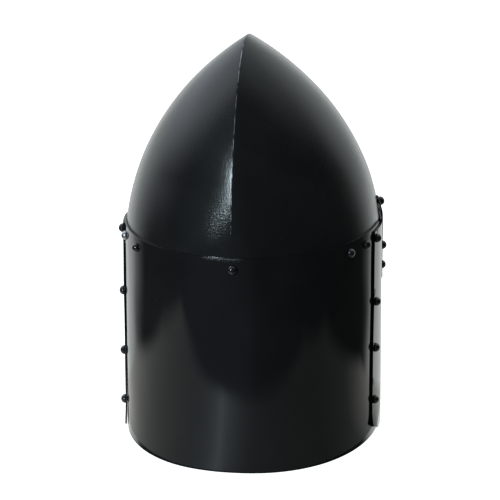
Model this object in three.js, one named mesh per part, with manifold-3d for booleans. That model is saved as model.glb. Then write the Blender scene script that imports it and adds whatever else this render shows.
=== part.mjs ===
// A pointed great helm of black-painted sheet steel: a ridged skull, a back plate, a face plate with
// two sights and breathing holes, and a cross riveted on the face.
// Millimetres, +Z up, the face towards -Y, the origin on the floor in the middle of the helm.
import * as THREE from "three";
import { mergeVertices } from "three/addons/utils/BufferGeometryUtils.js";
import Module from "manifold-3d";

const wasm = await Module();
wasm.setup();

const { clamp, degToRad, lerp, smoothstep } = THREE.MathUtils;

// Sheet metal
const SHEET = 1.5; // thickness of the skull and of both plates
const CROSS_SHEET = 1.1; // thickness of the cross
const GAP = 0.3; // clearance between pieces that touch on the real helm

// The wall below the rim: half sizes of its plan and the power of its rounded outline
const RIM_HEIGHT = 189; // floor to the top edge of the back plate
const RIM = { halfWidth: 111, halfDepth: 127, power: 2 };
const FOOT = { halfWidth: 112, halfDepth: 135, power: 2.2 };

// The skull, a bowl that comes to a ridge from front to back
const SKULL_HEIGHT = 167; // rim to the top of the ridge
const SKULL_TUCK = 17; // what goes down inside the plates
const APEX_SETBACK = 31; // the top of the ridge lies this far behind the middle
const SETBACK_POWER = 2.3; // how the middle of a section moves back on the way up
const ARCH_DROP = 65; // the two arcs seen from behind are centred this far below the rim
const ARCH_BULGE = 4.3; // and swell this much further out halfway up
const RIDGE_POWER = 1.78; // roundness of the ridge seen from the side
const RIDGE_FADE = 0.35; // share of the height over which the ridge grows sharp
const APEX_STRETCH = 1.17; // the sloping sides meet higher than they stand apart

// The laps of the face plate over the back plate, bearings in degrees from the middle of the back
const FACE_EDGE = { rim: 74.4, foot: 72.1 };
const LAP = 10;
const LAP_EASE = 12; // past the lap the face plate comes in to the skull over this angle
const FACE_DROP = 3; // its top edge sits this far below the rim
const CORNER = { reach: 12, flare: 1.4, flareFrom: 0.88 }; // lower rear corners, sprung outwards
const CORNER_LIFT = { right: 9.5, left: 1.5 }; // and clipped this far up

// The cross on the face, angles in degrees from the middle of the face
const ARM = { rise: -22, half: 20, tipHalf: 38.5, flareFrom: 54, bendBy: 0.1, end: 84 };
const POST = { half: 13, tipHalf: 23, flareLength: 30, top: 58, bottom: -128 };
const CROSS_LANDING = 16; // above this rise the cross lies on the skull

// Openings of the face
const SIGHT = { from: 15, to: 72, half: 4, depth: 80 };
const BREATH = { radius: 3, rows: 3, columns: 4, top: -68, pitch: 17, first: 17, step: 8 };

// Rivets
const HEAD = { radius: 4, height: 4 };
const TAIL = { radius: 3.2, height: 1.2 };
const SHANK_RADIUS = 2;
const HOLE_RADIUS = 2.4;
const SIDES = { head: 10, shank: 6, breath: 8 };
const RIM_RIVET_DROP = 9.4; // below the top edge of the plates
const RIM_RIVET_BEARINGS = [-67, -50.6, 0.8, 54.6, 66.1];
const LAP_RIVET_INSET = 2.8; // degrees in from the rear edge of the face plate
const LAP_RIVET_RISES = { right: [-10, -67, -109, -157], left: [-9, -66, -121.5, -167.5] };
const ARM_RIVETS = { angle: 48, spread: 12.5 };
const ARM_END_RIVETS = { inset: 5, heights: [28.5, -11, -31] };
const POST_RIVETS = { middle: [-8.5, -33.5, -80], topSpread: 12, bottomSpread: 14, inset: 9 };

// Facets
const SKULL_CELLS = { columns: 40, bands: 11, crowding: 1.6 }; // bands crowd towards the top
const BACK_CELLS = { columns: 24, rows: 2 };
const FACE_CELLS = { columns: 32, levels: [0, 1 - CORNER.flareFrom, 0.5, 1] };
const FACET_SAG = 0.6; // how far the flat facets of the skull fall inside its curve
const CROSS_CELLS = { armLength: 12, armHeight: 4, postWidth: 4, postTop: 5, postBottom: 5 };

const SAME_POINT = 1e-4; // corners closer than this become one
const FINE_ANGLE = 1e-7; // radians, where a search for an angle ends

const HALF_TURN = Math.PI;
const QUARTER_TURN = Math.PI / 2;

// Where the pieces lie, as offsets from the outer face of the skull
const BACK_INNER = GAP;
const BACK_OUTER = BACK_INNER + SHEET;
const LAP_INNER = BACK_OUTER + GAP;

const signedPower = (value, power) => Math.sign(value) * Math.abs(value) ** power;

// A point of the wall, which the bearing turns from the back (0) by -X (90) to the face (180 degrees).
function wallPoint(bearing, rise, offset) {
  const down = -rise / RIM_HEIGHT;
  const power = 2 / lerp(RIM.power, FOOT.power, down);
  const halfWidth = lerp(RIM.halfWidth, FOOT.halfWidth, down) + offset;
  const halfDepth = lerp(RIM.halfDepth, FOOT.halfDepth, down) + offset;
  return new THREE.Vector3(
    -halfWidth * signedPower(Math.sin(bearing), power),
    halfDepth * signedPower(Math.cos(bearing), power),
    RIM_HEIGHT + rise,
  );
}

// Half the width of the skull at a rise: two swollen arcs that meet in a point.
function archHalfWidth(rise, halfWidth, height) {
  const span = (height + ARCH_DROP) ** 2 - ARCH_DROP ** 2 - halfWidth ** 2;
  const beyond = span / (2 * halfWidth);
  const radius = Math.hypot(halfWidth + beyond, ARCH_DROP);
  const swell = 4 * ARCH_BULGE * (rise / height) * (1 - rise / height);
  return Math.sqrt(radius ** 2 - (rise + ARCH_DROP) ** 2) - beyond + swell;
}

// A point of the skull: round sections at the rim, which turn into two arcs that meet at the ridge.
function skullPoint(bearing, rise, offset) {
  const height = SKULL_HEIGHT + APEX_STRETCH * offset;
  const share = clamp(rise / height, 0, 1);
  const ridge = (1 - share ** RIDGE_POWER) ** (1 / RIDGE_POWER);
  const middle = APEX_SETBACK * share ** SETBACK_POWER;
  const front = Math.cos(bearing) < 0 ? -1 : 1;
  const rimReach = RIM.halfDepth + offset - front * APEX_SETBACK;
  const reach = rimReach * ridge + front * (APEX_SETBACK - middle);
  const halfWidth = archHalfWidth(share * height, RIM.halfWidth + offset, height);
  const point = new THREE.Vector3(0, middle, RIM_HEIGHT + share * height);
  if (share === 1) return point;
  const towardsRidge = Math.asin(Math.abs(Math.cos(bearing))) / QUARTER_TURN;
  const radius = (reach ** 2 + halfWidth ** 2) / (2 * halfWidth);
  const sweep = towardsRidge * Math.asin(reach / radius);
  const sharpness = smoothstep(share, 0, RIDGE_FADE);
  const roundX = halfWidth * Math.abs(Math.sin(bearing));
  const roundY = reach * Math.abs(Math.cos(bearing));
  const x = lerp(roundX, radius * Math.cos(sweep) - (radius - halfWidth), sharpness);
  const y = lerp(roundY, radius * Math.sin(sweep), sharpness);
  point.x = -Math.sign(Math.sin(bearing)) * x;
  point.y += front * y;
  return point;
}

const surfacePoint = (bearing, rise, offset) =>
  rise > 0 ? skullPoint(bearing, rise, offset) : wallPoint(bearing, rise, offset);

// The bearing measured from the middle of the back, 0 to 180 degrees on either side.
const fromBack = (bearing) => Math.acos(clamp(Math.cos(bearing), -1, 1));

const faceEdge = (rise) => degToRad(lerp(FACE_EDGE.rim, FACE_EDGE.foot, -rise / RIM_HEIGHT));

// How far the face plate's inner face stands off: over the back plate at the laps, else on the skull.
function faceSeat(bearing, rise) {
  const past = fromBack(bearing) - faceEdge(rise);
  const lapEnd = degToRad(LAP + 1);
  const lapped = 1 - smoothstep(past, lapEnd, lapEnd + degToRad(LAP_EASE));
  const low = smoothstep(-rise / RIM_HEIGHT, CORNER.flareFrom, 1);
  const nearCorner = 1 - smoothstep(past, 0, degToRad(CORNER.reach));
  return lerp(GAP, LAP_INNER, lapped) + CORNER.flare * low * nearCorner;
}

// How far the cross stands off: on the face plate, and above the rim on the skull.
function crossSeat(bearing, rise) {
  const onFace = faceSeat(bearing, rise) + SHEET + GAP;
  return lerp(onFace, 2 * GAP, smoothstep(rise, 0, CROSS_LANDING));
}

// Every sheet is a layer over the surface, between its seat and its thickness further out.
const SEATS = {
  skull: () => -SHEET,
  back: () => BACK_INNER,
  face: faceSeat,
  cross: crossSeat,
};
const THICKNESS = { skull: SHEET, back: SHEET, face: SHEET, cross: CROSS_SHEET };
const innerPoint = (sheet, bearing, rise) => surfacePoint(bearing, rise, SEATS[sheet](bearing, rise));
const outerPoint = (sheet, bearing, rise) =>
  surfacePoint(bearing, rise, SEATS[sheet](bearing, rise) + THICKNESS[sheet]);

// A grid of cells, each as four places given by place(across, up) with both shares from 0 to 1.
function gridCells(columns, rows, place) {
  const cells = [];
  for (let i = 0; i < columns; i++) {
    for (let j = 0; j < rows; j++) {
      const corners = [
        [i, j],
        [i + 1, j],
        [i + 1, j + 1],
        [i, j + 1],
      ];
      cells.push(corners.map(([a, b]) => place(a / columns, b / rows)));
    }
  }
  return cells;
}

// A closed sheet: cells on its outer face, the same turned round on its inner face, walls at free edges.
function sheetGeometry(sheet, cells) {
  const outside = [];
  const inside = [];
  const numbers = new Map();
  const numberOf = ({ bearing, rise }) => {
    const point = outerPoint(sheet, bearing, rise);
    const key = point.toArray().map((c) => Math.round(c / SAME_POINT)).join(" ");
    if (!numbers.has(key)) {
      numbers.set(key, outside.length);
      outside.push(point);
      inside.push(innerPoint(sheet, bearing, rise));
    }
    return numbers.get(key);
  };
  const triangles = [];
  for (const cell of cells) {
    const [a, b, c, d] = cell.map(numberOf);
    for (const triangle of [[a, b, c], [a, c, d]]) {
      if (new Set(triangle).size === 3) triangles.push(triangle);
    }
  }
  const edges = triangles.flatMap(([a, b, c]) => [[a, b], [b, c], [c, a]]);
  const known = new Set(edges.map((edge) => edge.join(" ")));
  const count = outside.length;
  const index = triangles.flatMap(([a, b, c]) => [a, b, c, c + count, b + count, a + count]);
  for (const [a, b] of edges) {
    if (!known.has(b + " " + a)) index.push(a, a + count, b + count, a, b + count, b);
  }
  const geometry = new THREE.BufferGeometry().setFromPoints([...outside, ...inside]);
  geometry.setIndex(index);
  return geometry;
}

// Solids for cutting, and back
function solidOf(geometry) {
  const bare = geometry.clone();
  bare.deleteAttribute("normal");
  bare.deleteAttribute("uv");
  const merged = mergeVertices(bare, SAME_POINT);
  return new wasm.Manifold(
    new wasm.Mesh({
      numProp: 3,
      vertProperties: merged.attributes.position.array,
      triVerts: new Uint32Array(merged.index.array),
    }),
  );
}

function geometryOf(solid) {
  const mesh = solid.getMesh();
  const geometry = new THREE.BufferGeometry();
  geometry.setAttribute("position", new THREE.BufferAttribute(mesh.vertProperties, 3));
  geometry.setIndex(new THREE.BufferAttribute(mesh.triVerts, 1));
  return geometry;
}

function cutAway(geometry, cutters) {
  let solid = solidOf(geometry);
  for (const cutter of cutters) solid = solid.subtract(solidOf(cutter));
  return geometryOf(solid);
}

// The direction straight out of a sheet.
function outwardsAt(sheet, bearing, rise) {
  const step = 0.002;
  const point = outerPoint(sheet, bearing, rise);
  const across = outerPoint(sheet, bearing + step, rise).sub(point);
  const up = outerPoint(sheet, bearing, rise + step * RIM_HEIGHT).sub(point);
  return across.cross(up).normalize();
}

// Moves a piece made along +Y so that it stands on the outer face of a sheet.
function standOn(geometry, sheet, bearing, rise) {
  const point = outerPoint(sheet, bearing, rise);
  const outwards = outwardsAt(sheet, bearing, rise);
  const turn = new THREE.Quaternion().setFromUnitVectors(new THREE.Vector3(0, 1, 0), outwards);
  return geometry.applyQuaternion(turn).translate(point.x, point.y, point.z);
}

// A through hole along the outward direction.
function holeCutter(sheet, bearing, rise, radius, sides) {
  const length = 24;
  return standOn(new THREE.CylinderGeometry(radius, radius, length, sides), sheet, bearing, rise);
}

// How deep below the outer face a tail has to sit to clear the inner sheet all round.
function gripOf({ head, tail, bearing, rise }) {
  const seat = outerPoint(head, bearing, rise);
  const outwards = outwardsAt(head, bearing, rise);
  const turn = TAIL.radius / RIM.halfWidth;
  const around = [[0, 0], [turn, 0], [-turn, 0], [0, TAIL.radius], [0, -TAIL.radius]];
  const depths = around.map(([a, b]) =>
    seat.clone().sub(innerPoint(tail, bearing + a, rise + b)).dot(outwards),
  );
  return Math.max(...depths) + FACET_SAG + GAP;
}

// A domed head outside, a shank through the sheets and a hammered tail inside.
function rivetGeometry(rivet) {
  const grip = gripOf(rivet);
  const stem = [
    new THREE.Vector2(0, -grip - TAIL.height),
    new THREE.Vector2(TAIL.radius, -grip - TAIL.height / 2),
    new THREE.Vector2(TAIL.radius, -grip),
    new THREE.Vector2(SHANK_RADIUS, -grip),
    new THREE.Vector2(SHANK_RADIUS, HEAD.height / 2),
    new THREE.Vector2(0, HEAD.height / 2),
  ];
  const dome = [
    new THREE.Vector2(0, GAP),
    new THREE.Vector2(HEAD.radius, GAP),
    new THREE.Vector2(HEAD.radius * Math.SQRT1_2, GAP + HEAD.height * Math.SQRT1_2),
    new THREE.Vector2(0, GAP + HEAD.height),
  ];
  const solid = solidOf(new THREE.LatheGeometry(dome, SIDES.head)).add(
    solidOf(new THREE.LatheGeometry(stem, SIDES.shank)),
  );
  return standOn(geometryOf(solid), rivet.head, rivet.bearing, rivet.rise);
}

// The angle from the middle of the face at which the surface is a given distance from the middle plane.
function angleAcross(distance, rise) {
  let low = 0;
  let high = QUARTER_TURN;
  while (high - low > FINE_ANGLE) {
    const angle = (low + high) / 2;
    if (Math.abs(surfacePoint(HALF_TURN - angle, rise, 0).x) < distance) low = angle;
    else high = angle;
  }
  return low;
}

// Sheets as cells
function skullCells() {
  const rises = [-SKULL_TUCK, 0];
  for (let i = 1; i <= SKULL_CELLS.bands; i++) {
    const left = 1 - i / SKULL_CELLS.bands;
    rises.push(SKULL_HEIGHT * (1 - left ** SKULL_CELLS.crowding));
  }
  return gridCells(SKULL_CELLS.columns, rises.length - 1, (across, up) => ({
    bearing: 2 * HALF_TURN * across,
    rise: rises[Math.round(up * (rises.length - 1))],
  }));
}

function backCells() {
  return gridCells(BACK_CELLS.columns, BACK_CELLS.rows, (across, up) => {
    const rise = -RIM_HEIGHT * (1 - up);
    const edge = faceEdge(rise) + degToRad(LAP);
    return { bearing: lerp(-edge, edge, across), rise };
  });
}

function faceCells() {
  const rows = FACE_CELLS.levels.length - 1;
  return gridCells(FACE_CELLS.columns, rows, (across, row) => {
    const up = FACE_CELLS.levels[Math.round(row * rows)];
    const level = lerp(-RIM_HEIGHT, -FACE_DROP, up);
    const edge = faceEdge(level);
    const bearing = lerp(edge, 2 * HALF_TURN - edge, across);
    const clip = across < 0.5 ? CORNER_LIFT.right : CORNER_LIFT.left;
    const nearness = 1 - clamp((fromBack(bearing) - edge) / degToRad(CORNER.reach), 0, 1);
    return { bearing, rise: level + clip * nearness ** 2 * (1 - up) };
  });
}

function crossCells() {
  const postHalf = (rise) => {
    const fromTip = Math.min(POST.top - rise, rise - POST.bottom);
    return lerp(POST.tipHalf, POST.half, Math.sqrt(clamp(fromTip / POST.flareLength, 0, 1)));
  };
  const post = (columns, rows, low, high) =>
    gridCells(columns, rows, (across, up) => {
      const rise = lerp(low, high, up);
      const side = 2 * across - 1;
      const angle = Math.sign(side) * angleAcross(Math.abs(side) * postHalf(rise), rise);
      return { bearing: HALF_TURN + angle, rise };
    });
  const armShares = [-1, -0.5, 0, 0.5, 1];
  const arm = (side) =>
    gridCells(CROSS_CELLS.armLength, armShares.length - 1, (across, up) => {
      const out = side < 0 ? 1 - across : across;
      const share = armShares[Math.round(up * (armShares.length - 1))];
      const level = ARM.rise + ARM.half * share;
      const angle = lerp(angleAcross(POST.half, level), degToRad(ARM.end), out);
      const flare = clamp((angle - degToRad(ARM.flareFrom)) / degToRad(ARM.end - ARM.flareFrom), 0, 1);
      const half = lerp(ARM.half, ARM.tipHalf, flare);
      const bend = lerp(share, 1, smoothstep(flare, 0, ARM.bendBy)) * ARM.half;
      const height = share > 0 && share < 1 ? bend : half * share;
      return { bearing: HALF_TURN + side * angle, rise: ARM.rise + height };
    });
  const low = ARM.rise - ARM.half;
  const high = ARM.rise + ARM.half;
  return [
    ...arm(-1),
    ...arm(1),
    ...post(CROSS_CELLS.postWidth, CROSS_CELLS.armHeight, low, high),
    ...post(CROSS_CELLS.postWidth, CROSS_CELLS.postBottom, POST.bottom, low),
    ...post(CROSS_CELLS.postWidth, CROSS_CELLS.postTop, high, POST.top),
  ];
}

// The rivets: a name, a place, the sheet under the head and the sheet under the tail
function rivetRows() {
  const rows = [];
  const add = (name, bearing, rise, head, tail) => rows.push({ name, bearing, rise, head, tail });
  const under = (rise) => (rise > -SKULL_TUCK ? "skull" : "face");
  RIM_RIVET_BEARINGS.forEach((bearing, i) =>
    add(`rivet_rim_${i + 1}`, degToRad(bearing), -RIM_RIVET_DROP, "back", "skull"),
  );
  for (const [side, sign] of [["right", 1], ["left", -1]]) {
    LAP_RIVET_RISES[side].forEach((rise, i) => {
      const bearing = sign * (faceEdge(rise) + degToRad(LAP_RIVET_INSET));
      add(`rivet_lap_${side}_${i + 1}`, bearing, rise, "face", i === 0 ? "skull" : "back");
    });
    const onArm = (degrees) => HALF_TURN - sign * degToRad(degrees);
    for (const [place, share] of [["top", 1], ["low", -1]]) {
      const rise = ARM.rise + share * ARM_RIVETS.spread;
      add(`rivet_arm_${side}_${place}`, onArm(ARM_RIVETS.angle), rise, "cross", under(rise));
    }
    ARM_END_RIVETS.heights.forEach((height, i) => {
      const rise = ARM.rise + height;
      const bearing = onArm(ARM.end - ARM_END_RIVETS.inset);
      add(`rivet_end_${side}_${i + 1}`, bearing, rise, "cross", under(rise));
    });
    const top = POST.top - POST_RIVETS.inset;
    const bottom = POST.bottom + POST_RIVETS.inset;
    const topAngle = sign * angleAcross(POST_RIVETS.topSpread, top);
    const bottomAngle = sign * angleAcross(POST_RIVETS.bottomSpread, bottom);
    add(`rivet_post_${side}_top`, HALF_TURN - topAngle, top, "cross", "skull");
    add(`rivet_post_${side}_bottom`, HALF_TURN - bottomAngle, bottom, "cross", "face");
  }
  POST_RIVETS.middle.forEach((rise, i) =>
    add(`rivet_post_middle_${i + 1}`, HALF_TURN, rise, "cross", under(rise)),
  );
  return rows;
}

// Two long slots with round ends, straight through the face
function sightCutters() {
  const middle = (SIGHT.from + SIGHT.to) / 2;
  const straight = (SIGHT.to - SIGHT.from) / 2 - SIGHT.half;
  return [-1, 1].map((side) => {
    const outline = new THREE.Shape();
    outline.absarc(straight, 0, SIGHT.half, -QUARTER_TURN, QUARTER_TURN);
    outline.absarc(-straight, 0, SIGHT.half, QUARTER_TURN, 3 * QUARTER_TURN);
    const cutter = new THREE.ExtrudeGeometry(outline, {
      depth: SIGHT.depth,
      bevelEnabled: false,
      curveSegments: 5,
    });
    cutter.rotateX(QUARTER_TURN);
    return cutter.translate(side * middle, -SIGHT.depth, RIM_HEIGHT + ARM.rise);
  });
}

function breathCutters() {
  const cutters = [];
  for (let row = 0; row < BREATH.rows; row++) {
    for (let column = 0; column < BREATH.columns; column++) {
      const stagger = (row % 2) * (BREATH.step / 2);
      const angle = degToRad(BREATH.first + stagger + BREATH.step * column);
      const rise = BREATH.top - BREATH.pitch * row;
      for (const side of [-1, 1]) {
        const bearing = HALF_TURN + side * angle;
        cutters.push(holeCutter("face", bearing, rise, BREATH.radius, SIDES.breath));
      }
    }
  }
  return cutters;
}

// Each piece has its own coat of black paint.
const paint = (roughness) => new THREE.MeshStandardMaterial({ color: 0x0d0e10, roughness, metalness: 0.2 });

const helmet = new THREE.Group();
function addPiece(name, geometry, roughness) {
  const mesh = new THREE.Mesh(geometry, paint(roughness));
  mesh.name = name;
  helmet.add(mesh);
}

const rivets = rivetRows();
const rivetHoles = rivets.map(({ head, bearing, rise }) =>
  holeCutter(head, bearing, rise, HOLE_RADIUS, SIDES.shank),
);
const sights = sightCutters();

addPiece("skull", cutAway(sheetGeometry("skull", skullCells()), rivetHoles), 0.25);
addPiece("back_plate", cutAway(sheetGeometry("back", backCells()), rivetHoles), 0.22);
addPiece(
  "face_plate",
  cutAway(sheetGeometry("face", faceCells()), [...rivetHoles, ...sights, ...breathCutters()]),
  0.22,
);
addPiece("cross", cutAway(sheetGeometry("cross", crossCells()), [...rivetHoles, ...sights]), 0.28);
for (const rivet of rivets) addPiece(rivet.name, rivetGeometry(rivet), 0.3);

export default helmet;
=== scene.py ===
# A pointed great helm of black-painted sheet steel, seen from behind on a white studio floor.
import math

import bmesh
import bpy
import numpy as np
from mathutils import Matrix, Vector
from mathutils.geometry import delaunay_2d_cdt
from mathutils.kdtree import KDTree


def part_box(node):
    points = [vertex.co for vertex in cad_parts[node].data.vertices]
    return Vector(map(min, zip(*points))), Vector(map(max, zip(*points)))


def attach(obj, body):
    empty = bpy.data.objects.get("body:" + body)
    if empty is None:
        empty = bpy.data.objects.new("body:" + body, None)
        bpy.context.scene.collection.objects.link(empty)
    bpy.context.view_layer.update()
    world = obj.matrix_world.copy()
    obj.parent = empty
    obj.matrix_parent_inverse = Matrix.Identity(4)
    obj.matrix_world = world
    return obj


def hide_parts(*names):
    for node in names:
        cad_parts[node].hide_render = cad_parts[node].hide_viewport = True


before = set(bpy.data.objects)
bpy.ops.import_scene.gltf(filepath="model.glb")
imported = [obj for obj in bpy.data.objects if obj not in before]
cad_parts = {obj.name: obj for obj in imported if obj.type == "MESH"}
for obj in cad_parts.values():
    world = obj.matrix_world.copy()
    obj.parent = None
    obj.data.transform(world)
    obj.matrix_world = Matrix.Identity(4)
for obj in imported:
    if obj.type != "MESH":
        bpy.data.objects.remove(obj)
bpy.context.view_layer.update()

# Sizes in metres, angles in degrees. Bearings turn from the back (0) by -X (90) to the face (180).
SHEET = 0.0015
CROSS_SHEET = 0.0011
THICKNESS = {"skull": SHEET, "back": SHEET, "face": SHEET, "cross": CROSS_SHEET}
GAP = 0.0003
EDGE_ROUND = 0.0005
RIM_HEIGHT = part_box("back_plate")[1].z
SKULL_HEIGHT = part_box("skull")[1].z - RIM_HEIGHT
SKULL_TUCK = RIM_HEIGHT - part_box("skull")[0].z
RIM = {"half_width": 0.111, "half_depth": 0.127, "power": 2.0}
FOOT = {"half_width": 0.112, "half_depth": 0.135, "power": 2.2}

# The skull
APEX_SETBACK = 0.031
SETBACK_POWER = 2.3
ARCH_DROP = 0.065
ARCH_BULGE = 0.0043
RIDGE_POWER = 1.78
RIDGE_FADE = 0.35
RIDGE_ROUND = {"radius": 0.0006, "share_of_width": 0.08, "least_slope": 0.05}
APEX_STRETCH = 1.17

# The face plate and its laps over the back plate
FACE_EDGE = {"rim": 75.7, "foot": 73.5}
LAP = 10
LAP_MARGIN = 1
LAP_EASE = 12
FACE_DROP = 0.003
CORNER = {"reach": 12, "flare_from": 0.88}
CORNER_FLARE = {"right": 0.0024, "left": 0.0006}
CORNER_LIFT = {"right": 0.0108, "left": 0.0002}
SIGHT = {"from": 0.015, "to": 0.072, "half": 0.004}
BREATH = {"radius": 0.003, "rows": 3, "columns": 4, "top": -0.068, "pitch": 0.017}
BREATH_ANGLES = {"first": 17, "step": 8}

# The cross, with angles from the middle of the face
ARM = {"rise": -0.022, "half": 0.020, "tip_half": 0.0385, "flare_from": 54, "end": 84}
POST = {"half": 0.013, "tip_half": 0.023, "flare_length": 0.030, "top": 0.058, "bottom": -0.128}
CROSS_LANDING = 0.016

# Rivets
HEAD = {"radius": 0.004, "height": 0.004, "foot_share": 0.97, "skirt_share": 0.1}
TAIL = {"radius": 0.0032, "height": 0.0012, "end_share": 0.8, "round_share": 0.2}
SHANK_RADIUS = 0.002
RIVET_VARIETY = {"radius": 0.03, "height": 0.05, "tilt": 3}
RIM_RIVET_DROP = 0.0094
RIM_RIVET_BEARINGS = (-69, -52.3, 0.8, 56, 68.3)
LAP_RIVET_INSET = 2.8
LAP_RIVET_RISES = {
    "right": (-0.010, -0.067, -0.109, -0.157),
    "left": (-0.009, -0.066, -0.1215, -0.1675),
}
ARM_RIVETS = {"angle": 48, "spread": 0.0125}
ARM_END_RIVETS = (
    {"inset": 7.5, "height": 0.0285},
    {"inset": 5, "height": -0.011},
    {"inset": 6.8, "height": -0.031},
)
POST_RIVETS = {"middle": (-0.0085, -0.0335, -0.080), "inset": 0.009}
POST_RIVET_SPREAD = {"top": 0.012, "bottom": 0.014}
WORN_RIVETS = {"rivet_rim_1": "bare", "rivet_rim_4": "rubbed", "rivet_rim_5": "rubbed"}

# Long shallow waves left by hammering: turns around, turns per metre of height, phase and depth. They fade
# out between two shares of the skull's height.
WAVES = (
    {"around": 7, "up": 6.0, "phase": 0.4, "depth": 0.00007},
    {"around": 11, "up": -9.0, "phase": 2.1, "depth": 0.00005},
    {"around": 5, "up": 15.0, "phase": 1.2, "depth": 0.00005},
    {"around": 17, "up": 12.0, "phase": 4.0, "depth": 0.00003},
)
WAVE_FADE = (0.5, 0.9)

# Mesh density
SKULL_CELLS = {"columns": 220, "tuck_rows": 6, "dome_rows": 100}
SKULL_CROWDING = {"to_ridge": 0.96, "to_point": 1.6}
BACK_CELLS = {"columns": 120, "rows": 72}
FILL_SPACING = 0.003
FILL_CLEARANCE = 0.6
MAP_RADIUS = 0.116
OUTLINE_POINTS = {"sight_end": 13, "breath": 20, "face": 61, "post_top": 30, "post_bottom": 40, "arm": 50}
RIVET_SIDES = 32
RIVET_RINGS = 10
MERGE_STEPS_PER_METRE = 1e7
NORMAL_STEP = 0.002
HALVINGS = 40
SEED = 7

# Wear and colours. The scuff is a rubbed stretch on the top edge of the back plate.
RIM_WEAR = 0.0005
CREST_WEAR = {"half_width": 0.0007, "from": 0.008, "to": 0.024}
SCUFF = {"x": 0.008, "half_length": 0.013, "edge_depth": 0.0009}
SCUFF_SPECKS = {"depth": 0.006, "share": 0.4, "from": 0.88, "to": 0.96}
RUBBING = {"from": 0.8, "to": 0.92}
DUST = {"scale": 700, "edge": 0.2, "core": 0.12, "spread": 0.9}
DUST_COLOUR = (0.09, 0.09, 0.095, 1)
STEEL_COLOUR = (0.45, 0.45, 0.46, 1)
PAINTS = {
    "skull": {"black": 0.017, "ior": 1.5, "roughness": 0.19, "grain": 1.7e-4, "wear": 0.42, "dust": 0.012},
    "plate": {"black": 0.015, "ior": 1.5, "roughness": 0.08, "grain": 4e-6, "wear": 0.0, "dust": 0.004},
    "cross": {"black": 0.015, "ior": 1.5, "roughness": 0.10, "grain": 5e-6, "wear": 0.0, "dust": 0.005},
    "rivet": {"black": 0.012, "ior": 1.7, "roughness": 0.07, "grain": 4e-6, "wear": 0.0, "dust": 0.005},
    "rubbed": {"black": 0.012, "ior": 1.7, "roughness": 0.09, "grain": 4e-6, "wear": 0.45, "dust": 0.005},
    "bare": {"black": 0.012, "ior": 1.7, "roughness": 0.10, "grain": 4e-6, "wear": 0.95, "dust": 0.005},
}
NOISE_SCALES = {"clouds": 22, "rubbing": 130, "orange_peel": 160, "grain": 720, "scuff": 1100}
CLOUD_TONES = {"from": 0.35, "to": 0.7, "dark": 0.9, "light": 1.15}
CLOUD_SHEEN = {"from": 0.3, "to": 0.75, "gloss": 0.85, "matt": 1.2}
WORN_ROUGHNESS = 0.2
ORANGE_PEEL = 1e-5

# The camera, fitted to the photo
IMAGE_SIZE = 500
CAMERA = {
    "place": (-0.2558, 1.6996, 0.7188),
    "forward": (0.1423, -0.9395, -0.3117),
    "roll": 0.556,
    "focal_px": 2032,
    "shift_px": 1.8,
}

# Studio. The paint mirrors soft lights around it, each with its direction, the angles from that direction
# at which it starts and is full, its strength and its tint.
GLOWS = (
    {"azimuth": 170, "elevation": 25, "angles": (76, 46), "strength": 0.83, "tint": (0.92, 1, 1)},
    {"azimuth": 172, "elevation": -25, "angles": (52, 34), "strength": 1.0, "tint": (0.95, 1, 0.99)},
    {"azimuth": 129, "elevation": 46, "angles": (55, 26), "strength": 1.18, "tint": (0.92, 1, 1.1)},
    {"azimuth": 187.5, "elevation": 55, "angles": (70, 14), "strength": 0.74, "tint": (0.89, 1, 1.03)},
    {"azimuth": 29, "elevation": 32, "angles": (55, 16), "strength": 0.18, "tint": (0.82, 1, 1.17)},
    {"azimuth": 22, "elevation": -14, "angles": (45, 10), "strength": 0.10, "tint": (0.9, 1, 1.18)},
)
ROOM_COLOUR = (0.03, 0.03, 0.031, 1)
LAMP = {"azimuth": 26.2, "elevation": 15, "distance": 2.2, "size": 0.2}
LAMP_LIGHT = {"strength": 150, "tint": (0.8, 1, 1.08)}
HELM_MIDDLE = (0, 0.05, 0.22)

# The lit sheet on the table: its corners, clockwise from above, and its brightness around a point under the
# back. Its brightness is painted light and shade of a lit table. It is bright before the face and dim behind
# the back, where the dim side is a painted shadow of the helm and the lamp adds a narrow painted pool of
# light.
TABLE_CORNERS = ((-0.44, 0.33), (0.53, 0.40), (0.49, 0.17), (0.30, -0.06), (-0.27, -0.08), (-0.51, 0.15))
TABLE_FOCUS = (0, 0.075)
TABLE_SOFT = 0.14
# How far the sheet stops short of the foot: a dark gap that is a painted contact shade.
TABLE_CONTACT_SHADE = 0.006
TABLE_SIDES = 240
TABLE_TINTS = {"warm": (0.99, 1, 0.95), "cool": (0.92, 1, 0.96)}
TABLE_PAINTED_LIGHT = (
    {"azimuth": -180, "strength": 0.8, "tint": "warm"},
    {"azimuth": -130, "strength": 0.65, "tint": "warm"},
    {"azimuth": -100, "strength": 0.2, "tint": "cool"},
    {"azimuth": -70, "strength": 0.14, "tint": "cool"},
    {"azimuth": -10, "strength": 0.15, "tint": "cool"},
    {"azimuth": 40, "strength": 0.33, "tint": "cool"},
    {"azimuth": 120, "strength": 0.75, "tint": "warm"},
    {"azimuth": 180, "strength": 0.8, "tint": "warm"},
)
# A painted pool of lamp light on the sheet, around one azimuth.
TABLE_PAINTED_POOL = {"azimuth": 14, "spread": 10, "strength": 0.78, "tint": (0.87, 1, 1.2)}
TABLE_DEPTH = -0.001

# The white cove that the camera sees
COVE = {"radius": 4.0, "bend": 1.0, "height": 4.0, "sides": 64, "bend_rows": 12}
COVE_TONES = (0.86, 0.90)
COVE_CLOUDS = {"scale": 3, "from": 0.3, "to": 0.7}
COVE_ROUGHNESS = 0.8
COVE_GLOW = 0.95

BACK_INNER = GAP
LAP_INNER = BACK_INNER + SHEET + GAP


def lerp(a, b, share):
    return a + (b - a) * share


def smoothstep(value, low, high):
    share = np.clip((value - low) / (high - low), 0, 1)
    return share * share * (3 - 2 * share)


def signed_power(value, power):
    return np.sign(value) * np.abs(value) ** power


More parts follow.
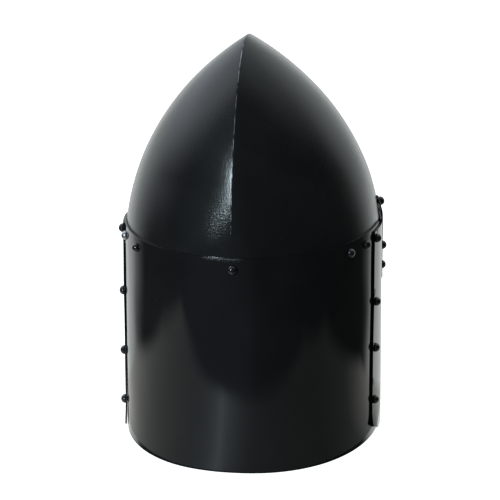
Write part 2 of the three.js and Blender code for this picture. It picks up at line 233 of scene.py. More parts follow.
# The surface that every sheet follows
def wall(bearing, rise, offset):
    down = -rise / RIM_HEIGHT
    power = 2 / lerp(RIM["power"], FOOT["power"], down)
    half_width = lerp(RIM["half_width"], FOOT["half_width"], down) + offset
    half_depth = lerp(RIM["half_depth"], FOOT["half_depth"], down) + offset
    x = -half_width * signed_power(np.sin(bearing), power)
    y = half_depth * signed_power(np.cos(bearing), power)
    return np.stack([x, y, RIM_HEIGHT + rise], axis=-1)


def arch_half_width(rise, half_width, height):
    beyond = ((height + ARCH_DROP) ** 2 - ARCH_DROP**2 - half_width**2) / (2 * half_width)
    radius = np.hypot(half_width + beyond, ARCH_DROP)
    swell = 4 * ARCH_BULGE * (rise / height) * (1 - rise / height)
    return np.sqrt(radius**2 - (rise + ARCH_DROP) ** 2) - beyond + swell


def skull(bearing, rise, offset):
    height = SKULL_HEIGHT + APEX_STRETCH * offset
    share = np.clip(rise / height, 0, 1)
    ridge = (1 - share**RIDGE_POWER) ** (1 / RIDGE_POWER)
    middle = APEX_SETBACK * share**SETBACK_POWER
    front = np.where(np.cos(bearing) < 0, -1, 1)
    reach = (RIM["half_depth"] + offset - front * APEX_SETBACK) * ridge + front * (APEX_SETBACK - middle)
    half_width = np.maximum(arch_half_width(share * height, RIM["half_width"] + offset, height), 1e-9)
    radius = (reach**2 + half_width**2) / (2 * half_width)
    full_sweep = np.arcsin(np.clip(reach / radius, -1, 1))
    sweep = np.arcsin(np.abs(np.cos(bearing))) / (math.pi / 2) * full_sweep
    lens_x = radius * np.cos(sweep) - (radius - half_width)
    lens_y = radius * np.sin(sweep)
    rounding = np.minimum(RIDGE_ROUND["radius"], RIDGE_ROUND["share_of_width"] * half_width)
    steepness = 1 / np.maximum(np.tan(full_sweep), RIDGE_ROUND["least_slope"])
    lens_y = lens_y - steepness * (np.hypot(lens_x, rounding) - lens_x)
    sharpness = smoothstep(share, 0, RIDGE_FADE)
    x = lerp(half_width * np.abs(np.sin(bearing)), lens_x, sharpness)
    y = lerp(reach * np.abs(np.cos(bearing)), lens_y, sharpness)
    x = np.where(share < 1, x, 0)
    y = np.where(share < 1, y, 0)
    return np.stack([-np.sign(np.sin(bearing)) * x, middle + front * y, RIM_HEIGHT + share * height], axis=-1)


def hammering(bearing, rise):
    depth = np.zeros_like(bearing)
    for wave in WAVES:
        turn = wave["around"] * bearing + 2 * math.pi * wave["up"] * rise + wave["phase"]
        depth = depth + wave["depth"] * np.sin(turn)
    return depth * (1 - smoothstep(rise / SKULL_HEIGHT, *WAVE_FADE))


def surface(bearing, rise, offset):
    bearing, rise, offset = np.broadcast_arrays(*(np.asarray(a, float) for a in (bearing, rise, offset)))
    offset = offset + hammering(bearing, rise)
    on_wall = wall(bearing, np.minimum(rise, 0), offset)
    on_skull = skull(bearing, np.maximum(rise, 0), offset)
    return np.where((rise > 0)[..., None], on_skull, on_wall)


# How far the inner face of each sheet stands off that surface
def face_edge(rise):
    return np.radians(lerp(FACE_EDGE["rim"], FACE_EDGE["foot"], -np.asarray(rise) / RIM_HEIGHT))


def past_edge(bearing, rise):
    return np.arccos(np.clip(np.cos(bearing), -1, 1)) - face_edge(rise)


def skull_seat(bearing, rise):
    return np.full_like(bearing, -SHEET)


def back_seat(bearing, rise):
    return np.full_like(bearing, BACK_INNER)


def face_seat(bearing, rise):
    past = past_edge(bearing, rise)
    lap_end = math.radians(LAP + LAP_MARGIN)
    lapped = 1 - smoothstep(past, lap_end, lap_end + math.radians(LAP_EASE))
    low = smoothstep(-rise / RIM_HEIGHT, CORNER["flare_from"], 1)
    near_corner = 1 - smoothstep(past, 0, math.radians(CORNER["reach"]))
    flare = np.where(np.sin(bearing) > 0, CORNER_FLARE["right"], CORNER_FLARE["left"])
    return lerp(GAP, LAP_INNER, lapped) + flare * low * near_corner


def cross_seat(bearing, rise):
    on_face = face_seat(bearing, rise) + SHEET + GAP
    return lerp(on_face, 2 * GAP, smoothstep(rise, 0, CROSS_LANDING))


SEATS = {"skull": skull_seat, "back": back_seat, "face": face_seat, "cross": cross_seat}


# Meshes
def new_object(name, mesh, material, node):
    mesh.materials.append(material)
    mesh.polygons.foreach_set("use_smooth", [True] * len(mesh.polygons))
    piece = bpy.data.objects.new(name, mesh)
    bpy.context.scene.collection.objects.link(piece)
    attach(piece, "root")
    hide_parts(node)
    return piece


def set_values(mesh, name, values):
    """A number for each corner of a mesh, for its paint to read."""
    mesh.attributes.new(name, "FLOAT", "POINT").data.foreach_set("value", values)


def grid_faces(columns, rows):
    """Four corners of each cell of a grid of points, with the rows one after the other."""
    wide = columns + 1
    return [
        (j * wide + i, j * wide + i + 1, (j + 1) * wide + i + 1, (j + 1) * wide + i)
        for j in range(rows)
        for i in range(columns)
    ]


def merged(points, faces):
    """Points that fall together become one, and faces lose the corners that repeat."""
    keys = np.round(points * MERGE_STEPS_PER_METRE).astype(np.int64)
    _, first, number = np.unique(keys, axis=0, return_index=True, return_inverse=True)
    number = number.ravel()
    kept = [tuple(dict.fromkeys(int(number[i]) for i in face)) for face in faces]
    return first, [face for face in kept if len(face) > 2]


def closed_sheet(name, sheet, bearing, rise, faces, material, node):
    """A sheet with an outer and an inner face and rounded free edges. Its edge attribute is 1 along them."""
    seat = SEATS[sheet](bearing, rise)
    outer = surface(bearing, rise, seat + THICKNESS[sheet])
    first, faces = merged(outer, faces)
    outer = outer[first]
    inner = surface(bearing, rise, seat)[first]
    count = len(outer)
    directed = {(a, b) for face in faces for a, b in zip(face, face[1:] + face[:1])}
    free = sorted((a, b) for a, b in directed if (b, a) not in directed)
    solid = bmesh.new()
    corners = [solid.verts.new(p) for p in np.concatenate([outer, inner])]
    for face in faces:
        solid.faces.new([corners[i] for i in face])
        solid.faces.new([corners[i + count] for i in reversed(face)])
    for a, b in free:
        solid.faces.new([corners[i] for i in (a, a + count, b + count, b)])
    rims = [solid.edges.get((corners[a + k], corners[b + k])) for a, b in free for k in (0, count)]
    bmesh.ops.bevel(
        solid, geom=rims, offset=EDGE_ROUND, segments=3, profile=0.5, affect="EDGES", clamp_overlap=True
    )
    mesh = bpy.data.meshes.new(name)
    solid.to_mesh(mesh)
    solid.free()
    tree = KDTree(len(free))
    for i, (a, _) in enumerate(free):
        tree.insert(outer[a], i)
    tree.balance()
    distances = np.array([tree.find(vertex.co)[2] for vertex in mesh.vertices])
    set_values(mesh, "edge", np.exp(-distances / SHEET))
    piece = new_object(name, mesh, material, node)
    normals = piece.modifiers.new("even shading", "WEIGHTED_NORMAL")
    normals.keep_sharp = False
    return piece


def inside(points, loop):
    """Which points of the flat map lie inside a loop."""
    x, y = points[:, 0, None], points[:, 1, None]
    ax, ay = loop[:, 0], loop[:, 1]
    bx, by = np.roll(ax, -1), np.roll(ay, -1)
    with np.errstate(divide="ignore", invalid="ignore"):
        crossing = ((ay > y) != (by > y)) & (x < (bx - ax) * (y - ay) / (by - ay) + ax)
    return crossing.sum(axis=1) % 2 == 1


def dense(loop):
    """The loop with more points on its long sides."""
    points = []
    for a, b in zip(loop, np.roll(loop, -1, axis=0)):
        steps = max(1, math.ceil(np.linalg.norm(b - a) / FILL_SPACING))
        points.extend(lerp(a, b, i / steps) for i in range(steps))
    return np.array(points)


def filled(outline, holes):
    """Triangles between an outline and holes in the flat map, as bearings, rises and faces."""
    loops = [dense(outline), *(dense(hole) for hole in holes)]
    low, high = loops[0].min(axis=0), loops[0].max(axis=0)
    row_step = FILL_SPACING * math.sqrt(3) / 2
    rows = np.arange(low[1], high[1], row_step)
    columns = np.arange(low[0], high[0], FILL_SPACING)
    lattice = np.array([(u + (j % 2) * FILL_SPACING / 2, v) for j, v in enumerate(rows) for u in columns])
    border = np.concatenate(loops)
    tree = KDTree(len(border))
    for i, (u, v) in enumerate(border):
        tree.insert((u, v, 0), i)
    tree.balance()
    clear = np.array([tree.find((u, v, 0))[2] > FILL_CLEARANCE * FILL_SPACING for u, v in lattice])
    kept = inside(lattice, loops[0]) & clear
    for hole in loops[1:]:
        kept &= ~inside(lattice, hole)
    edges = []
    start = 0
    for loop in loops:
        size = len(loop)
        edges += [(start + i, start + (i + 1) % size) for i in range(size)]
        start += size
    coords = [Vector(p) for p in np.concatenate([border, lattice[kept]])]
    made = delaunay_2d_cdt(coords, edges, [], 0, 1e-9)
    flat = np.array([tuple(p) for p in made[0]])
    faces = np.array([tuple(face) for face in made[2]])
    middles = flat[faces].mean(axis=1)
    wanted = inside(middles, loops[0])
    for hole in loops[1:]:
        wanted &= ~inside(middles, hole)
    a, b, c = (flat[faces[:, k]] for k in range(3))
    area = (b[:, 0] - a[:, 0]) * (c[:, 1] - a[:, 1]) - (b[:, 1] - a[:, 1]) * (c[:, 0] - a[:, 0])
    triangles = [tuple(map(int, f if s > 0 else f[::-1])) for f, s, w in zip(faces, area, wanted) if w]
    return flat[:, 0] / MAP_RADIUS, flat[:, 1], triangles


def on_map(bearing, rise):
    return np.stack(np.broadcast_arrays(np.asarray(bearing) * MAP_RADIUS, rise), axis=-1)


def angle_across(distance, rise):
    """The angle from the middle of the face at which the surface is a distance from the middle plane."""
    distance, rise = np.broadcast_arrays(np.asarray(distance, float), np.asarray(rise, float))
    low = np.zeros_like(rise)
    high = np.full_like(rise, math.pi / 2)
    for _ in range(HALVINGS):
        angle = (low + high) / 2
        nearer = np.abs(surface(math.pi - angle, rise, 0)[..., 0]) < distance
        low = np.where(nearer, angle, low)
        high = np.where(nearer, high, angle)
    return low


def skull_piece(material):
    share = np.linspace(0, 1, SKULL_CELLS["columns"] // 2, endpoint=False)
    half_turn = math.pi * (share - SKULL_CROWDING["to_ridge"] * np.sin(2 * math.pi * share) / (2 * math.pi))
    bearings = np.concatenate([half_turn, half_turn + math.pi, [2 * math.pi]])
    tuck = np.linspace(-SKULL_TUCK, 0, SKULL_CELLS["tuck_rows"], endpoint=False)
    left = np.linspace(1, 0, SKULL_CELLS["dome_rows"] + 1)
    dome = SKULL_HEIGHT * (1 - left ** SKULL_CROWDING["to_point"])
    rise, bearing = np.meshgrid(np.concatenate([tuck, dome]), bearings, indexing="ij")
    bearing, rise = bearing.ravel(), rise.ravel()
    faces = grid_faces(len(bearings) - 1, len(tuck) + len(dome) - 1)
    piece = closed_sheet("skull_bowl", "skull", bearing, rise, faces, material, "skull")
    corners = np.array([vertex.co for vertex in piece.data.vertices])
    height = smoothstep(corners[:, 2] - RIM_HEIGHT, CREST_WEAR["from"], CREST_WEAR["to"])
    crest = height * np.exp(-np.abs(corners[:, 0]) / CREST_WEAR["half_width"])
    set_values(piece.data, "crest", crest)


def back_piece(material):
    across = np.linspace(-1, 1, BACK_CELLS["columns"] + 1)
    rises = np.linspace(-RIM_HEIGHT, 0, BACK_CELLS["rows"] + 1)
    bearing = across[None, :] * (face_edge(rises) + math.radians(LAP))[:, None]
    rise = np.repeat(rises, len(across))
    faces = grid_faces(BACK_CELLS["columns"], BACK_CELLS["rows"])
    name, slot, node = "back_sheet", "plate_paint", "back_plate"
    piece = closed_sheet(name, "back", bearing.ravel(), rise, faces, material, node)
    corners = np.array([vertex.co for vertex in piece.data.vertices])
    along = (corners[:, 0] - SCUFF["x"]) / SCUFF["half_length"]
    set_values(piece.data, "scuff", np.exp(-(along**4)))


def sight_loops():
    middle = (SIGHT["from"] + SIGHT["to"]) / 2
    straight = (SIGHT["to"] - SIGHT["from"]) / 2 - SIGHT["half"]
    turn = np.linspace(-math.pi / 2, math.pi / 2, OUTLINE_POINTS["sight_end"])
    x = np.concatenate([straight + SIGHT["half"] * np.cos(turn), -straight - SIGHT["half"] * np.cos(turn)])
    rise = ARM["rise"] + np.concatenate([SIGHT["half"] * np.sin(turn), -SIGHT["half"] * np.sin(turn)])
    angle = angle_across(middle + x, rise)
    return [on_map(math.pi + side * angle, rise) for side in (-1, 1)]


def breath_loops():
    turn = np.linspace(0, 2 * math.pi, OUTLINE_POINTS["breath"], endpoint=False)
    loops = []
    for row in range(BREATH["rows"]):
        for column in range(BREATH["columns"]):
            stagger = (row % 2) * BREATH_ANGLES["step"] / 2
            angle = math.radians(BREATH_ANGLES["first"] + stagger + BREATH_ANGLES["step"] * column)
            rise = BREATH["top"] - BREATH["pitch"] * row
            for side in (-1, 1):
                middle = on_map(math.pi + side * angle, rise)
                loops.append(middle + BREATH["radius"] * np.stack([np.cos(turn), np.sin(turn)], axis=-1))
    return loops


def face_outline():
    share = np.linspace(0, 1, OUTLINE_POINTS["face"])
    foot_edge = float(face_edge(-RIM_HEIGHT))
    top_edge = float(face_edge(-FACE_DROP))
    foot = lerp(foot_edge, 2 * math.pi - foot_edge, share)
    nearness = 1 - np.clip(past_edge(foot, -RIM_HEIGHT) / math.radians(CORNER["reach"]), 0, 1)
    lift = np.where(share < 0.5, CORNER_LIFT["right"], CORNER_LIFT["left"]) * nearness**2
    top = lerp(2 * math.pi - top_edge, top_edge, share)
    return np.concatenate([on_map(foot, lift - RIM_HEIGHT), on_map(top, -FACE_DROP)])


def cross_outline():
    def post_half(rise):
        from_tip = np.minimum(POST["top"] - rise, rise - POST["bottom"])
        return lerp(POST["tip_half"], POST["half"], np.sqrt(np.clip(from_tip / POST["flare_length"], 0, 1)))

    def arm_half(angle):
        flare = (np.degrees(angle) - ARM["flare_from"]) / (ARM["end"] - ARM["flare_from"])
        return lerp(ARM["half"], ARM["tip_half"], np.clip(flare, 0, 1))

    high = ARM["rise"] + ARM["half"]
    low = ARM["rise"] - ARM["half"]
    upper = np.linspace(POST["top"], high, OUTLINE_POINTS["post_top"])
    lower = np.linspace(low, POST["bottom"], OUTLINE_POINTS["post_bottom"])
    upper_angle = angle_across(post_half(upper), upper)
    lower_angle = angle_across(post_half(lower), lower)
    out = np.linspace(upper_angle[-1], math.radians(ARM["end"]), OUTLINE_POINTS["arm"])[1:]
    home = np.linspace(math.radians(ARM["end"]), lower_angle[0], OUTLINE_POINTS["arm"])[:-1]
    angle = np.concatenate([upper_angle, out, home, lower_angle])
    rise = np.concatenate([upper, ARM["rise"] + arm_half(out), ARM["rise"] - arm_half(home), lower])
    right = on_map(math.pi + angle, rise)
    left = on_map(math.pi - angle[::-1], rise[::-1])
    return np.concatenate([right, left])


def face_piece(material):
    bearing, rise, faces = filled(face_outline(), sight_loops() + breath_loops())
    closed_sheet("face_sheet", "face", bearing, rise, faces, material, "face_plate")


def cross_piece(material):
    bearing, rise, faces = filled(cross_outline(), sight_loops())
    closed_sheet("cross_sheet", "cross", bearing, rise, faces, material, "cross")


# Rivets: node, bearing, rise and the sheet under the head
def rivet_rows():
    rows = []

    def add(node, bearing, rise, sheet):
        rows.append({"node": node, "bearing": bearing, "rise": rise, "sheet": sheet})

    for i, degrees in enumerate(RIM_RIVET_BEARINGS):
        add(f"rivet_rim_{i + 1}", math.radians(degrees), -RIM_RIVET_DROP, "back")
    for side, sign in (("right", 1), ("left", -1)):
        for i, rise in enumerate(LAP_RIVET_RISES[side]):
            bearing = sign * (float(face_edge(rise)) + math.radians(LAP_RIVET_INSET))
            add(f"rivet_lap_{side}_{i + 1}", bearing, rise, "face")
        arm_bearing = math.pi - sign * math.radians(ARM_RIVETS["angle"])
        for place, share in (("top", 1), ("low", -1)):
            add(f"rivet_arm_{side}_{place}", arm_bearing, ARM["rise"] + share * ARM_RIVETS["spread"], "cross")
        for i, end in enumerate(ARM_END_RIVETS):
            end_bearing = math.pi - sign * math.radians(ARM["end"] - end["inset"])
            add(f"rivet_end_{side}_{i + 1}", end_bearing, ARM["rise"] + end["height"], "cross")
        top = POST["top"] - POST_RIVETS["inset"]
        bottom = POST["bottom"] + POST_RIVETS["inset"]
        top_angle = float(angle_across(POST_RIVET_SPREAD["top"], top))
        bottom_angle = float(angle_across(POST_RIVET_SPREAD["bottom"], bottom))
        add(f"rivet_post_{side}_top", math.pi - sign * top_angle, top, "cross")
        add(f"rivet_post_{side}_bottom", math.pi - sign * bottom_angle, bottom, "cross")
    for i, rise in enumerate(POST_RIVETS["middle"]):
        add(f"rivet_post_middle_{i + 1}", math.pi, rise, "cross")
    return rows


def outer_place(row):
    """The point of the sheet's outer face under a rivet, and the direction straight out of it."""

    def outer(bearing, rise):
        bearing = np.asarray(bearing, float)
        seat = SEATS[row["sheet"]](bearing, rise)
        return surface(bearing, rise, seat + THICKNESS[row["sheet"]])

    point = outer(row["bearing"], row["rise"])
    across = outer(row["bearing"] + NORMAL_STEP, row["rise"]) - point
    up = outer(row["bearing"], row["rise"] + NORMAL_STEP * RIM_HEIGHT) - point
    return Vector(point), Vector(np.cross(across, up)).normalized()


def rivet_piece(row, material, chance):
    """A domed head outside, a shank through the sheets and a hammered tail as deep as in the frame."""
    point, outwards = outer_place(row)
    tail_end = min((vertex.co - point).dot(outwards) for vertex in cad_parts[row["node"]].data.vertices)
    tail_face = tail_end + TAIL["height"]
    radius = HEAD["radius"] * chance.uniform(1 - RIVET_VARIETY["radius"], 1 + RIVET_VARIETY["radius"])
    height = HEAD["height"] * chance.uniform(1 - RIVET_VARIETY["height"], 1 + RIVET_VARIETY["height"])
    skirt = HEAD["skirt_share"]
    curve = np.linspace(0, math.pi / 2, RIVET_RINGS + 1)[:-1]
    profile = [
        (TAIL["radius"] * TAIL["end_share"], tail_end + TAIL["round_share"] * TAIL["height"]),
        (TAIL["radius"], tail_face),
        (SHANK_RADIUS, tail_face),
        (SHANK_RADIUS, 0),
        (radius * HEAD["foot_share"], 0),
        *((radius * math.cos(a), height * lerp(skirt, 1, math.sin(a))) for a in curve),
    ]
    solid = bmesh.new()
    turns = [2 * math.pi * k / RIVET_SIDES for k in range(RIVET_SIDES)]
    rings = [[solid.verts.new((r * math.cos(t), r * math.sin(t), z)) for t in turns] for r, z in profile]
    for below, above in zip(rings, rings[1:]):
        for k in range(RIVET_SIDES):
            n = (k + 1) % RIVET_SIDES
            solid.faces.new((below[k], below[n], above[n], above[k]))
    for ring, z in ((rings[0][::-1], tail_end), (rings[-1], height)):
        pole = solid.verts.new((0, 0, z))
        for k in range(RIVET_SIDES):
            solid.faces.new((ring[k], ring[(k + 1) % RIVET_SIDES], pole))
    tilt = Matrix.Rotation(math.radians(chance.uniform(0, RIVET_VARIETY["tilt"])), 4, "X")
    turn = Matrix.Rotation(chance.uniform(0, 2 * math.pi), 4, "Z")
    stand = Matrix.Translation(point) @ outwards.to_track_quat("Z", "Y").to_matrix().to_4x4()
    solid.transform(stand @ turn @ tilt)
    mesh = bpy.data.meshes.new(row["node"] + "_domed")
    solid.to_mesh(mesh)
    solid.free()
    heights = np.array([(vertex.co - point).dot(outwards) for vertex in mesh.vertices])
    rim = np.exp(-np.abs(heights - skirt * height) / RIM_WEAR)
    set_values(mesh, "edge", rim)
    new_object(row["node"] + "_domed", mesh, material, row["node"])


# Materials
def add_node(tree, kind, inputs=None, **settings):
    made = tree.nodes.new(kind)
    for key, value in settings.items():
        setattr(made, key, value)
    for key, value in (inputs or {}).items():
        if isinstance(value, bpy.types.NodeSocket):
            tree.links.new(value, made.inputs[key])
        else:
            made.inputs[key].default_value = value
    return made


def noise(tree, place, scale, detail=2.0):
    settings = {"Vector": place, "Scale": scale, "Detail": detail}
    return add_node(tree, "ShaderNodeTexNoise", settings).outputs["Fac"]


def ranged(tree, value, low, high, to_low=0.0, to_high=1.0):
    settings = {"Value": value, "From Min": low, "From Max": high, "To Min": to_low, "To Max": to_high}
    return add_node(tree, "ShaderNodeMapRange", settings, interpolation_type="SMOOTHSTEP").outputs["Result"]


def math_node(tree, operation, a, b):
    return add_node(tree, "ShaderNodeMath", {0: a, 1: b}, operation=operation).outputs[0]


def mixed(tree, factor, a, b, blend="MIX"):
    mix = add_node(tree, "ShaderNodeMix", {"Factor": factor}, data_type="RGBA", blend_type=blend)
    for socket, colour in ((mix.inputs[6], a), (mix.inputs[7], b)):
        if isinstance(colour, bpy.types.NodeSocket):
            tree.links.new(colour, socket)
        else:
            socket.default_value = colour
    return mix.outputs[2]


def bumped(tree, height, distance, **under):
    inputs = {"Height": height, "Distance": distance, **under}
    return add_node(tree, "ShaderNodeBump", inputs).outputs["Normal"]


def attribute(tree, name):
    return add_node(tree, "ShaderNodeAttribute", attribute_name=name).outputs["Fac"]


def wear(tree, place, amount):
    """1 where the paint is rubbed off: along free edges and the ridge, and in the scuff."""
    bared = math_node(tree, "MAXIMUM", attribute(tree, "edge"), attribute(tree, "crest"))
    rubbed = math_node(tree, "MULTIPLY", bared, noise(tree, place, NOISE_SCALES["rubbing"], 5))
    rubbed = ranged(tree, rubbed, RUBBING["from"] - amount, RUBBING["to"] - amount)
    height = add_node(tree, "ShaderNodeSeparateXYZ", {"Vector": place}).outputs["Z"]
    line = ranged(tree, height, RIM_HEIGHT - SCUFF["edge_depth"], RIM_HEIGHT)
    low = RIM_HEIGHT - SCUFF_SPECKS["depth"]
    specks = ranged(tree, height, low, RIM_HEIGHT, 0.0, SCUFF_SPECKS["share"])
    specks = math_node(tree, "ADD", specks, noise(tree, place, NOISE_SCALES["scuff"], 3))
    specks = ranged(tree, specks, SCUFF_SPECKS["from"], SCUFF_SPECKS["to"])
    scratched = math_node(tree, "MAXIMUM", line, specks)
    scuffed = math_node(tree, "MULTIPLY", attribute(tree, "scuff"), scratched)
    return math_node(tree, "MAXIMUM", rubbed, scuffed)


def dust(tree, place, amount):
    """1 in specks of dust, in that share of small cells."""
    cells = add_node(tree, "ShaderNodeTexVoronoi", {"Vector": place, "Scale": DUST["scale"]})
    chosen = add_node(tree, "ShaderNodeSeparateColor", {"Color": cells.outputs["Color"]}).outputs["Red"]
    near = ranged(tree, cells.outputs["Distance"], DUST["edge"], DUST["core"])
    return math_node(tree, "MULTIPLY", near, ranged(tree, chosen, 1 - amount, 1 - DUST["spread"] * amount))


def paint(name):
    """Gloss black paint: orange peel, uneven sheen, dust specks, and steel showing where it is rubbed."""
    row = PAINTS[name]
    material = bpy.data.materials.new(name + "_paint")
    material.use_nodes = True
    tree = material.node_tree
    shader = tree.nodes["Principled BSDF"]
    shader.inputs["IOR"].default_value = row["ior"]
    place = add_node(tree, "ShaderNodeTexCoord").outputs["Object"]
    clouds = noise(tree, place, NOISE_SCALES["clouds"], 4)
    worn = wear(tree, place, row["wear"])
    speck = dust(tree, place, row["dust"])
    dark, light = ([CLOUD_TONES[key] * row["black"]] * 3 + [1] for key in ("dark", "light"))
    tone = mixed(tree, ranged(tree, clouds, CLOUD_TONES["from"], CLOUD_TONES["to"]), dark, light)
    specked = mixed(tree, speck, tone, DUST_COLOUR)
    tree.links.new(mixed(tree, worn, specked, STEEL_COLOUR), shader.inputs["Base Color"])
    tree.links.new(worn, shader.inputs["Metallic"])
    gloss, matt = (CLOUD_SHEEN[key] * row["roughness"] for key in ("gloss", "matt"))
    sheen = ranged(tree, clouds, CLOUD_SHEEN["from"], CLOUD_SHEEN["to"], gloss, matt)
    dull = math_node(tree, "MULTIPLY", math_node(tree, "MAXIMUM", speck, worn), WORN_ROUGHNESS)
    tree.links.new(math_node(tree, "ADD", sheen, dull), shader.inputs["Roughness"])
    grain = bumped(tree, noise(tree, place, NOISE_SCALES["grain"], 3), row["grain"])
    peel = bumped(tree, noise(tree, place, NOISE_SCALES["orange_peel"], 2), ORANGE_PEEL, Normal=grain)
    tree.links.new(peel, shader.inputs["Normal"])
    return material


def floor_material():
    material = bpy.data.materials.new("floor_white")
    material.use_nodes = True
    tree = material.node_tree
    shader = tree.nodes["Principled BSDF"]
    place = add_node(tree, "ShaderNodeTexCoord").outputs["Object"]
    clouds = noise(tree, place, COVE_CLOUDS["scale"], 3)
    dark, light = ([tone] * 3 + [1] for tone in COVE_TONES)
    colour = mixed(tree, ranged(tree, clouds, COVE_CLOUDS["from"], COVE_CLOUDS["to"]), dark, light)
    tree.links.new(colour, shader.inputs["Base Color"])
    shader.inputs["Roughness"].default_value = COVE_ROUGHNESS
    shader.inputs["Emission Color"].default_value = (1, 1, 1, 1)
    shader.inputs["Emission Strength"].default_value = COVE_GLOW
    return material


def table_material():
    material = bpy.data.materials.new("table_painted_light")
    material.use_nodes = True
    tree = material.node_tree
    tree.nodes.clear()
    # The sheet's emission is painted light and shade of a lit table, seen only in reflections.
    light = add_node(tree, "ShaderNodeAttribute", attribute_name="light").outputs["Color"]
    glow = add_node(tree, "ShaderNodeEmission", {"Color": light})
    clear = add_node(tree, "ShaderNodeBsdfTransparent")
    shaders = {0: ranged(tree, attribute(tree, "lit"), 0, 1), 1: clear.outputs[0], 2: glow.outputs[0]}
    fading = add_node(tree, "ShaderNodeMixShader", shaders)
    add_node(tree, "ShaderNodeOutputMaterial", {"Surface": fading.outputs[0]})
    return material


# Stage
def stage_object(name, points, faces, material):
    mesh = bpy.data.meshes.new(name)
    mesh.from_pydata(points, [], faces)
    mesh.materials.append(material)
    made = bpy.data.objects.new(name, mesh)
    bpy.context.scene.collection.objects.link(made)
    made.visible_diffuse = False
    made.visible_transmission = False
    made.visible_shadow = False
    return made


def ring_faces(first, bands, sides):
    """Four corners of each cell between rings of points, which follow one another from the first."""
    faces = []
    for band in range(bands):
        start = first + band * sides
        for k in range(sides):
            n = (k + 1) % sides
            faces.append((start + k, start + sides + k, start + sides + n, start + n))
    return faces


def make_cove():
    """A white floor that curves up into a wall all round. The paint mirrors the lights and not the cove."""
    bend = [(math.sin(a), 1 - math.cos(a)) for a in np.linspace(0, math.pi / 2, COVE["bend_rows"] + 1)]
    flat = COVE["radius"] - COVE["bend"]
    profile = [(flat + COVE["bend"] * x, COVE["bend"] * z) for x, z in bend]
    profile.append((COVE["radius"], COVE["height"]))
    sides = COVE["sides"]
    turns = np.linspace(0, 2 * math.pi, sides, endpoint=False)
    points = [(0, 0, 0)] + [(r * math.cos(t), r * math.sin(t), z) for r, z in profile for t in turns]
    faces = [(0, 1 + k, 1 + (k + 1) % sides) for k in range(sides)]
    faces += ring_faces(1, len(profile) - 1, sides)
    cove = stage_object("floor", points, faces, floor_material())
    cove.data.polygons.foreach_set("use_smooth", [True] * len(faces))
    cove.visible_glossy = False


def sheet_reach(azimuth):
    """How far the lit sheet reaches from its focus in each direction."""
    corners = np.array(TABLE_CORNERS) - TABLE_FOCUS
    side_x, side_y = (np.roll(corners, -1, axis=0) - corners).T
    outwards = np.stack([-side_y, side_x], axis=-1)
    away = np.sum(outwards * corners, axis=1)
    towards = np.stack([np.sin(azimuth), np.cos(azimuth)])
    return 1 / np.max(outwards @ towards / away[:, None], axis=0)


def sheet_painted_light(azimuth):
    """The colour of the sheet's light in each direction, painted light and shade of a lit table."""
    stops = np.radians([row["azimuth"] for row in TABLE_PAINTED_LIGHT])
    colours = np.array([row["strength"] * np.array(TABLE_TINTS[row["tint"]]) for row in TABLE_PAINTED_LIGHT])
    light = np.stack([np.interp(azimuth, stops, channel) for channel in colours.T], axis=-1)
    # The painted pool of lamp light, brightest at one azimuth.
    aside = np.abs(np.degrees(azimuth) - TABLE_PAINTED_POOL["azimuth"])
    pool = TABLE_PAINTED_POOL["strength"] * np.exp(-aside / TABLE_PAINTED_POOL["spread"])
    return light + pool[:, None] * TABLE_PAINTED_POOL["tint"]


def make_table():
    """A glowing sheet around the foot of the helm, which fades out at its outer edge and stops short of the
    foot as a painted contact shade.
    """
    azimuth = np.linspace(-math.pi, math.pi, TABLE_SIDES, endpoint=False)
    # The gap between the foot and the sheet is a painted contact shade.
    foot = wall(azimuth, np.full(TABLE_SIDES, -RIM_HEIGHT), LAP_INNER + TABLE_CONTACT_SHADE)
    x, y = (foot[:, :2] - TABLE_FOCUS).T
    foot_azimuth = np.arctan2(x, y)
    order = np.argsort(foot_azimuth)
    foot_reach = np.interp(azimuth, foot_azimuth[order], np.hypot(x, y)[order])
    reach = sheet_reach(azimuth)
    outer = np.maximum((1 + TABLE_SOFT) * reach, foot_reach)
    inner = np.clip((1 - TABLE_SOFT) * reach, foot_reach, outer)
    points = []
    for radius in (foot_reach, inner, outer):
        places = np.stack([radius * np.sin(azimuth), radius * np.cos(azimuth)], axis=-1) + TABLE_FOCUS
        points.extend((px, py, TABLE_DEPTH) for px, py in places)
    table = stage_object("table", points, ring_faces(0, 2, TABLE_SIDES), table_material())
    set_values(table.data, "lit", np.repeat([1.0, 1.0, 0.0], TABLE_SIDES))
    colours = np.column_stack([sheet_painted_light(azimuth), np.ones(TABLE_SIDES)])
    light = table.data.attributes.new("light", "FLOAT_COLOR", "POINT")
    light.data.foreach_set("color", np.tile(colours, (3, 1)).ravel())
    table.visible_camera = False


def direction(azimuth, elevation):
    """Azimuth 0 points along +Y, behind the helm, and 90 along +X."""
    turn, up = math.radians(azimuth), math.radians(elevation)
    return Vector((math.sin(turn) * math.cos(up), math.cos(turn) * math.cos(up), math.sin(up)))


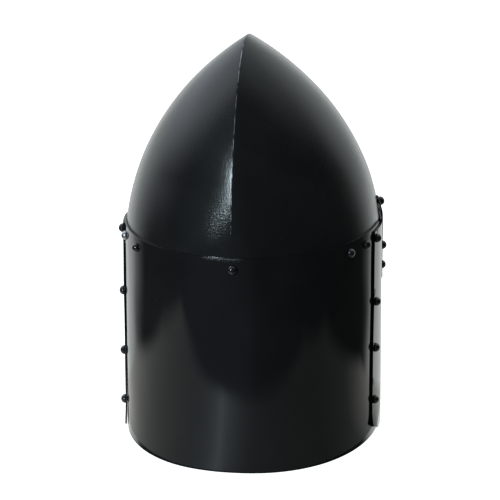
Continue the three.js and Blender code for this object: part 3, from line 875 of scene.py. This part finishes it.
def make_lamp():
    light = bpy.data.lights.new("lamp", "AREA")
    light.shape = "DISK"
    light.size = LAMP["size"]
    light.energy = LAMP_LIGHT["strength"] * math.pi * math.pi * (LAMP["size"] / 2) ** 2
    light.color = LAMP_LIGHT["tint"]
    lamp = bpy.data.objects.new("lamp", light)
    out = direction(LAMP["azimuth"], LAMP["elevation"])
    lamp.location = Vector(HELM_MIDDLE) + LAMP["distance"] * out
    lamp.rotation_euler = (-out).to_track_quat("-Z", "Y").to_euler()
    lamp.visible_camera = False
    bpy.context.scene.collection.objects.link(lamp)


def make_world():
    world = bpy.data.worlds.new("studio")
    bpy.context.scene.world = world
    world.use_nodes = True
    tree = world.node_tree
    towards = add_node(tree, "ShaderNodeTexCoord").outputs["Generated"]
    colour = ROOM_COLOUR
    for row in GLOWS:
        centre = direction(row["azimuth"], row["elevation"])
        facing = add_node(tree, "ShaderNodeVectorMath", {0: towards, 1: centre}, operation="DOT_PRODUCT")
        start, full = (math.cos(math.radians(a)) for a in row["angles"])
        share = ranged(tree, facing.outputs["Value"], start, full)
        bright = [row["strength"] * c for c in row["tint"]] + [1]
        colour = mixed(tree, 1.0, colour, mixed(tree, share, (0, 0, 0, 1), bright), "LIGHTEN")
    tree.links.new(colour, tree.nodes["Background"].inputs["Color"])


def make_camera():
    data = bpy.data.cameras.new("camera")
    data.lens = CAMERA["focal_px"] / IMAGE_SIZE * data.sensor_width
    data.shift_x = -CAMERA["shift_px"] / IMAGE_SIZE
    camera = bpy.data.objects.new("camera", data)
    forward = Vector(CAMERA["forward"]).normalized()
    right = forward.cross(Vector((0, 0, 1))).normalized()
    roll = Matrix.Rotation(math.radians(CAMERA["roll"]), 3, forward)
    right = roll @ right
    up = right.cross(forward)
    turn = Matrix((right, up, -forward)).transposed().to_4x4()
    camera.matrix_world = Matrix.Translation(CAMERA["place"]) @ turn
    bpy.context.scene.collection.objects.link(camera)
    bpy.context.scene.camera = camera


paints = {name: paint(name) for name in PAINTS}
skull_piece(paints["skull"])
back_piece(paints["plate"])
face_piece(paints["plate"])
cross_piece(paints["cross"])
chance = np.random.default_rng(SEED)
for row in rivet_rows():
    rivet_piece(row, paints[WORN_RIVETS.get(row["node"], "rivet")], chance)

make_cove()
make_table()
make_lamp()
make_world()
make_camera()
bpy.context.scene.view_settings.view_transform = "Standard"
